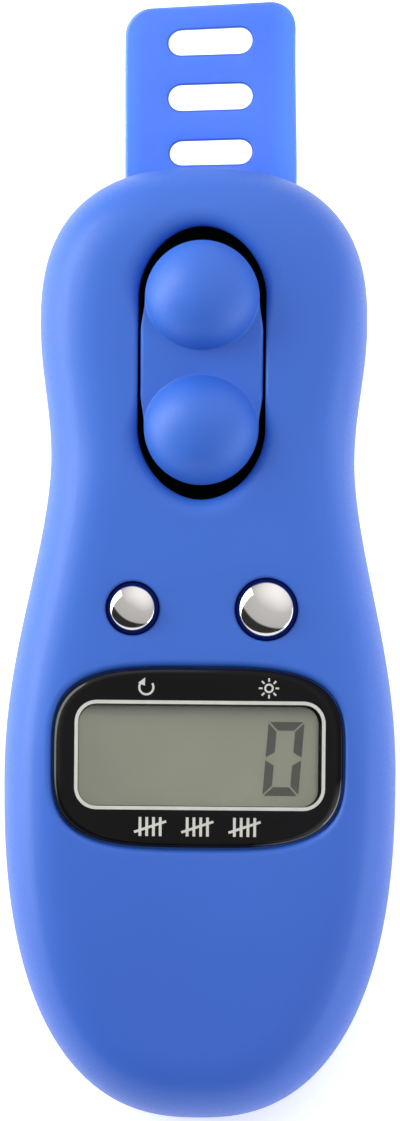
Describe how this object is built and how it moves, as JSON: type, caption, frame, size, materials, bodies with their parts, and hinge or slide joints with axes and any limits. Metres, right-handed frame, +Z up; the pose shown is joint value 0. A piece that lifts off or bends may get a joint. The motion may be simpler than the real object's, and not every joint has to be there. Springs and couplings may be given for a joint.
{
  "type": "digital tally counter",
  "caption": "Finger-worn digital tally counter: waisted case with a twin-dome count rocker, reset and light keys, a display window and a slotted strap formed into a finger ring.",
  "frame": {"origin": "on the table, under the middle of the object's box, with the counter resting on its finger ring and its lower end", "axes": "+X to the right across the face, along the finger; +Y towards the strap end; +Z up. The face leans back about 24 degrees, so that it looks towards -Y and up."},
  "size_m": [0.028, 0.0772, 0.0365],
  "materials": {
    "body_blue": "satin soft-touch",
    "strap_blue": "satin, slightly see-through",
    "plated": "bright plated",
    "bezel_black": "high gloss",
    "lens_clear": "clear gloss",
    "lcd_glass": "satin polariser",
    "white_plastic": "moulded white",
    "light_guide": "frosted clear",
    "lamp": "gloss",
    "board_green": "solder resist",
    "chip_black": "moulded epoxy",
    "component": "ceramic",
    "steel": "plain",
    "contact": "plated spring",
    "rubber_grey": "silicone",
    "rubber_dark": "layered silicone",
    "black_plastic": "moulded"
  },
  "bodies": {
    "case": {"front_shell": "body_blue", "rear_cover": "body_blue", "case_screws": "steel", "rocker_pin": "steel", "rocker_rubber_pad": "rubber_grey", "reset_rubber_dome": "rubber_grey", "light_rubber_dome": "rubber_grey", "display_bezel": "bezel_black", "display_lens": "lens_clear", "lcd_panel": "lcd_glass", "lcd_holder": "white_plastic", "zebra_strips": "rubber_dark", "backlight_guide": "light_guide", "backlight_led": "lamp", "main_board": "board_green", "board_screws": "steel", "controller_chip": "chip_black", "board_components": "component", "battery_cell": "steel", "cell_holder": "black_plastic", "battery_contact_positive": "contact", "battery_contact_negative": "contact", "strap_keeper": "black_plastic", "strap_keeper_screws": "steel", "strap_hook": "body_blue"},
    "rocker": {"count_rocker": "body_blue"},
    "reset_key": {"reset_button": "plated"},
    "light_key": {"light_button": "plated"},
    "strap": {"finger_strap": "strap_blue"},
    "door": {"battery_door": "body_blue"}
  },
  "joints": [
    {"name": "rocker_tilt", "type": "hinge", "parent": "case", "child": "rocker", "pos_m": [0, 0.01014, 0.02929], "axis": [1, 0, 0], "range_deg": [-5, 5], "stiffness_Nm_per_rad": 0.06, "deforming": ["rocker_rubber_pad"]},
    {"name": "reset_press", "type": "slide", "parent": "case", "child": "reset_key", "axis": [0, 0.4072, -0.9134], "range_m": [0, 0.0008], "stiffness_N_per_m": 600, "deforming": ["reset_rubber_dome"]},
    {"name": "light_press", "type": "slide", "parent": "case", "child": "light_key", "axis": [0, 0.4072, -0.9134], "range_m": [0, 0.0008], "stiffness_N_per_m": 600, "deforming": ["light_rubber_dome"]},
    {"name": "strap_swing", "type": "hinge", "parent": "case", "child": "strap", "pos_m": [0, -0.00096, 0.01613], "axis": [-1, 0, 0], "range_deg": [0, 8]},
    {"name": "door_twist", "type": "hinge", "parent": "case", "child": "door", "pos_m": [0, -0.01429, 0.00822], "axis": [0, -0.4072, 0.9134], "range_deg": [0, 45]}
  ]
}
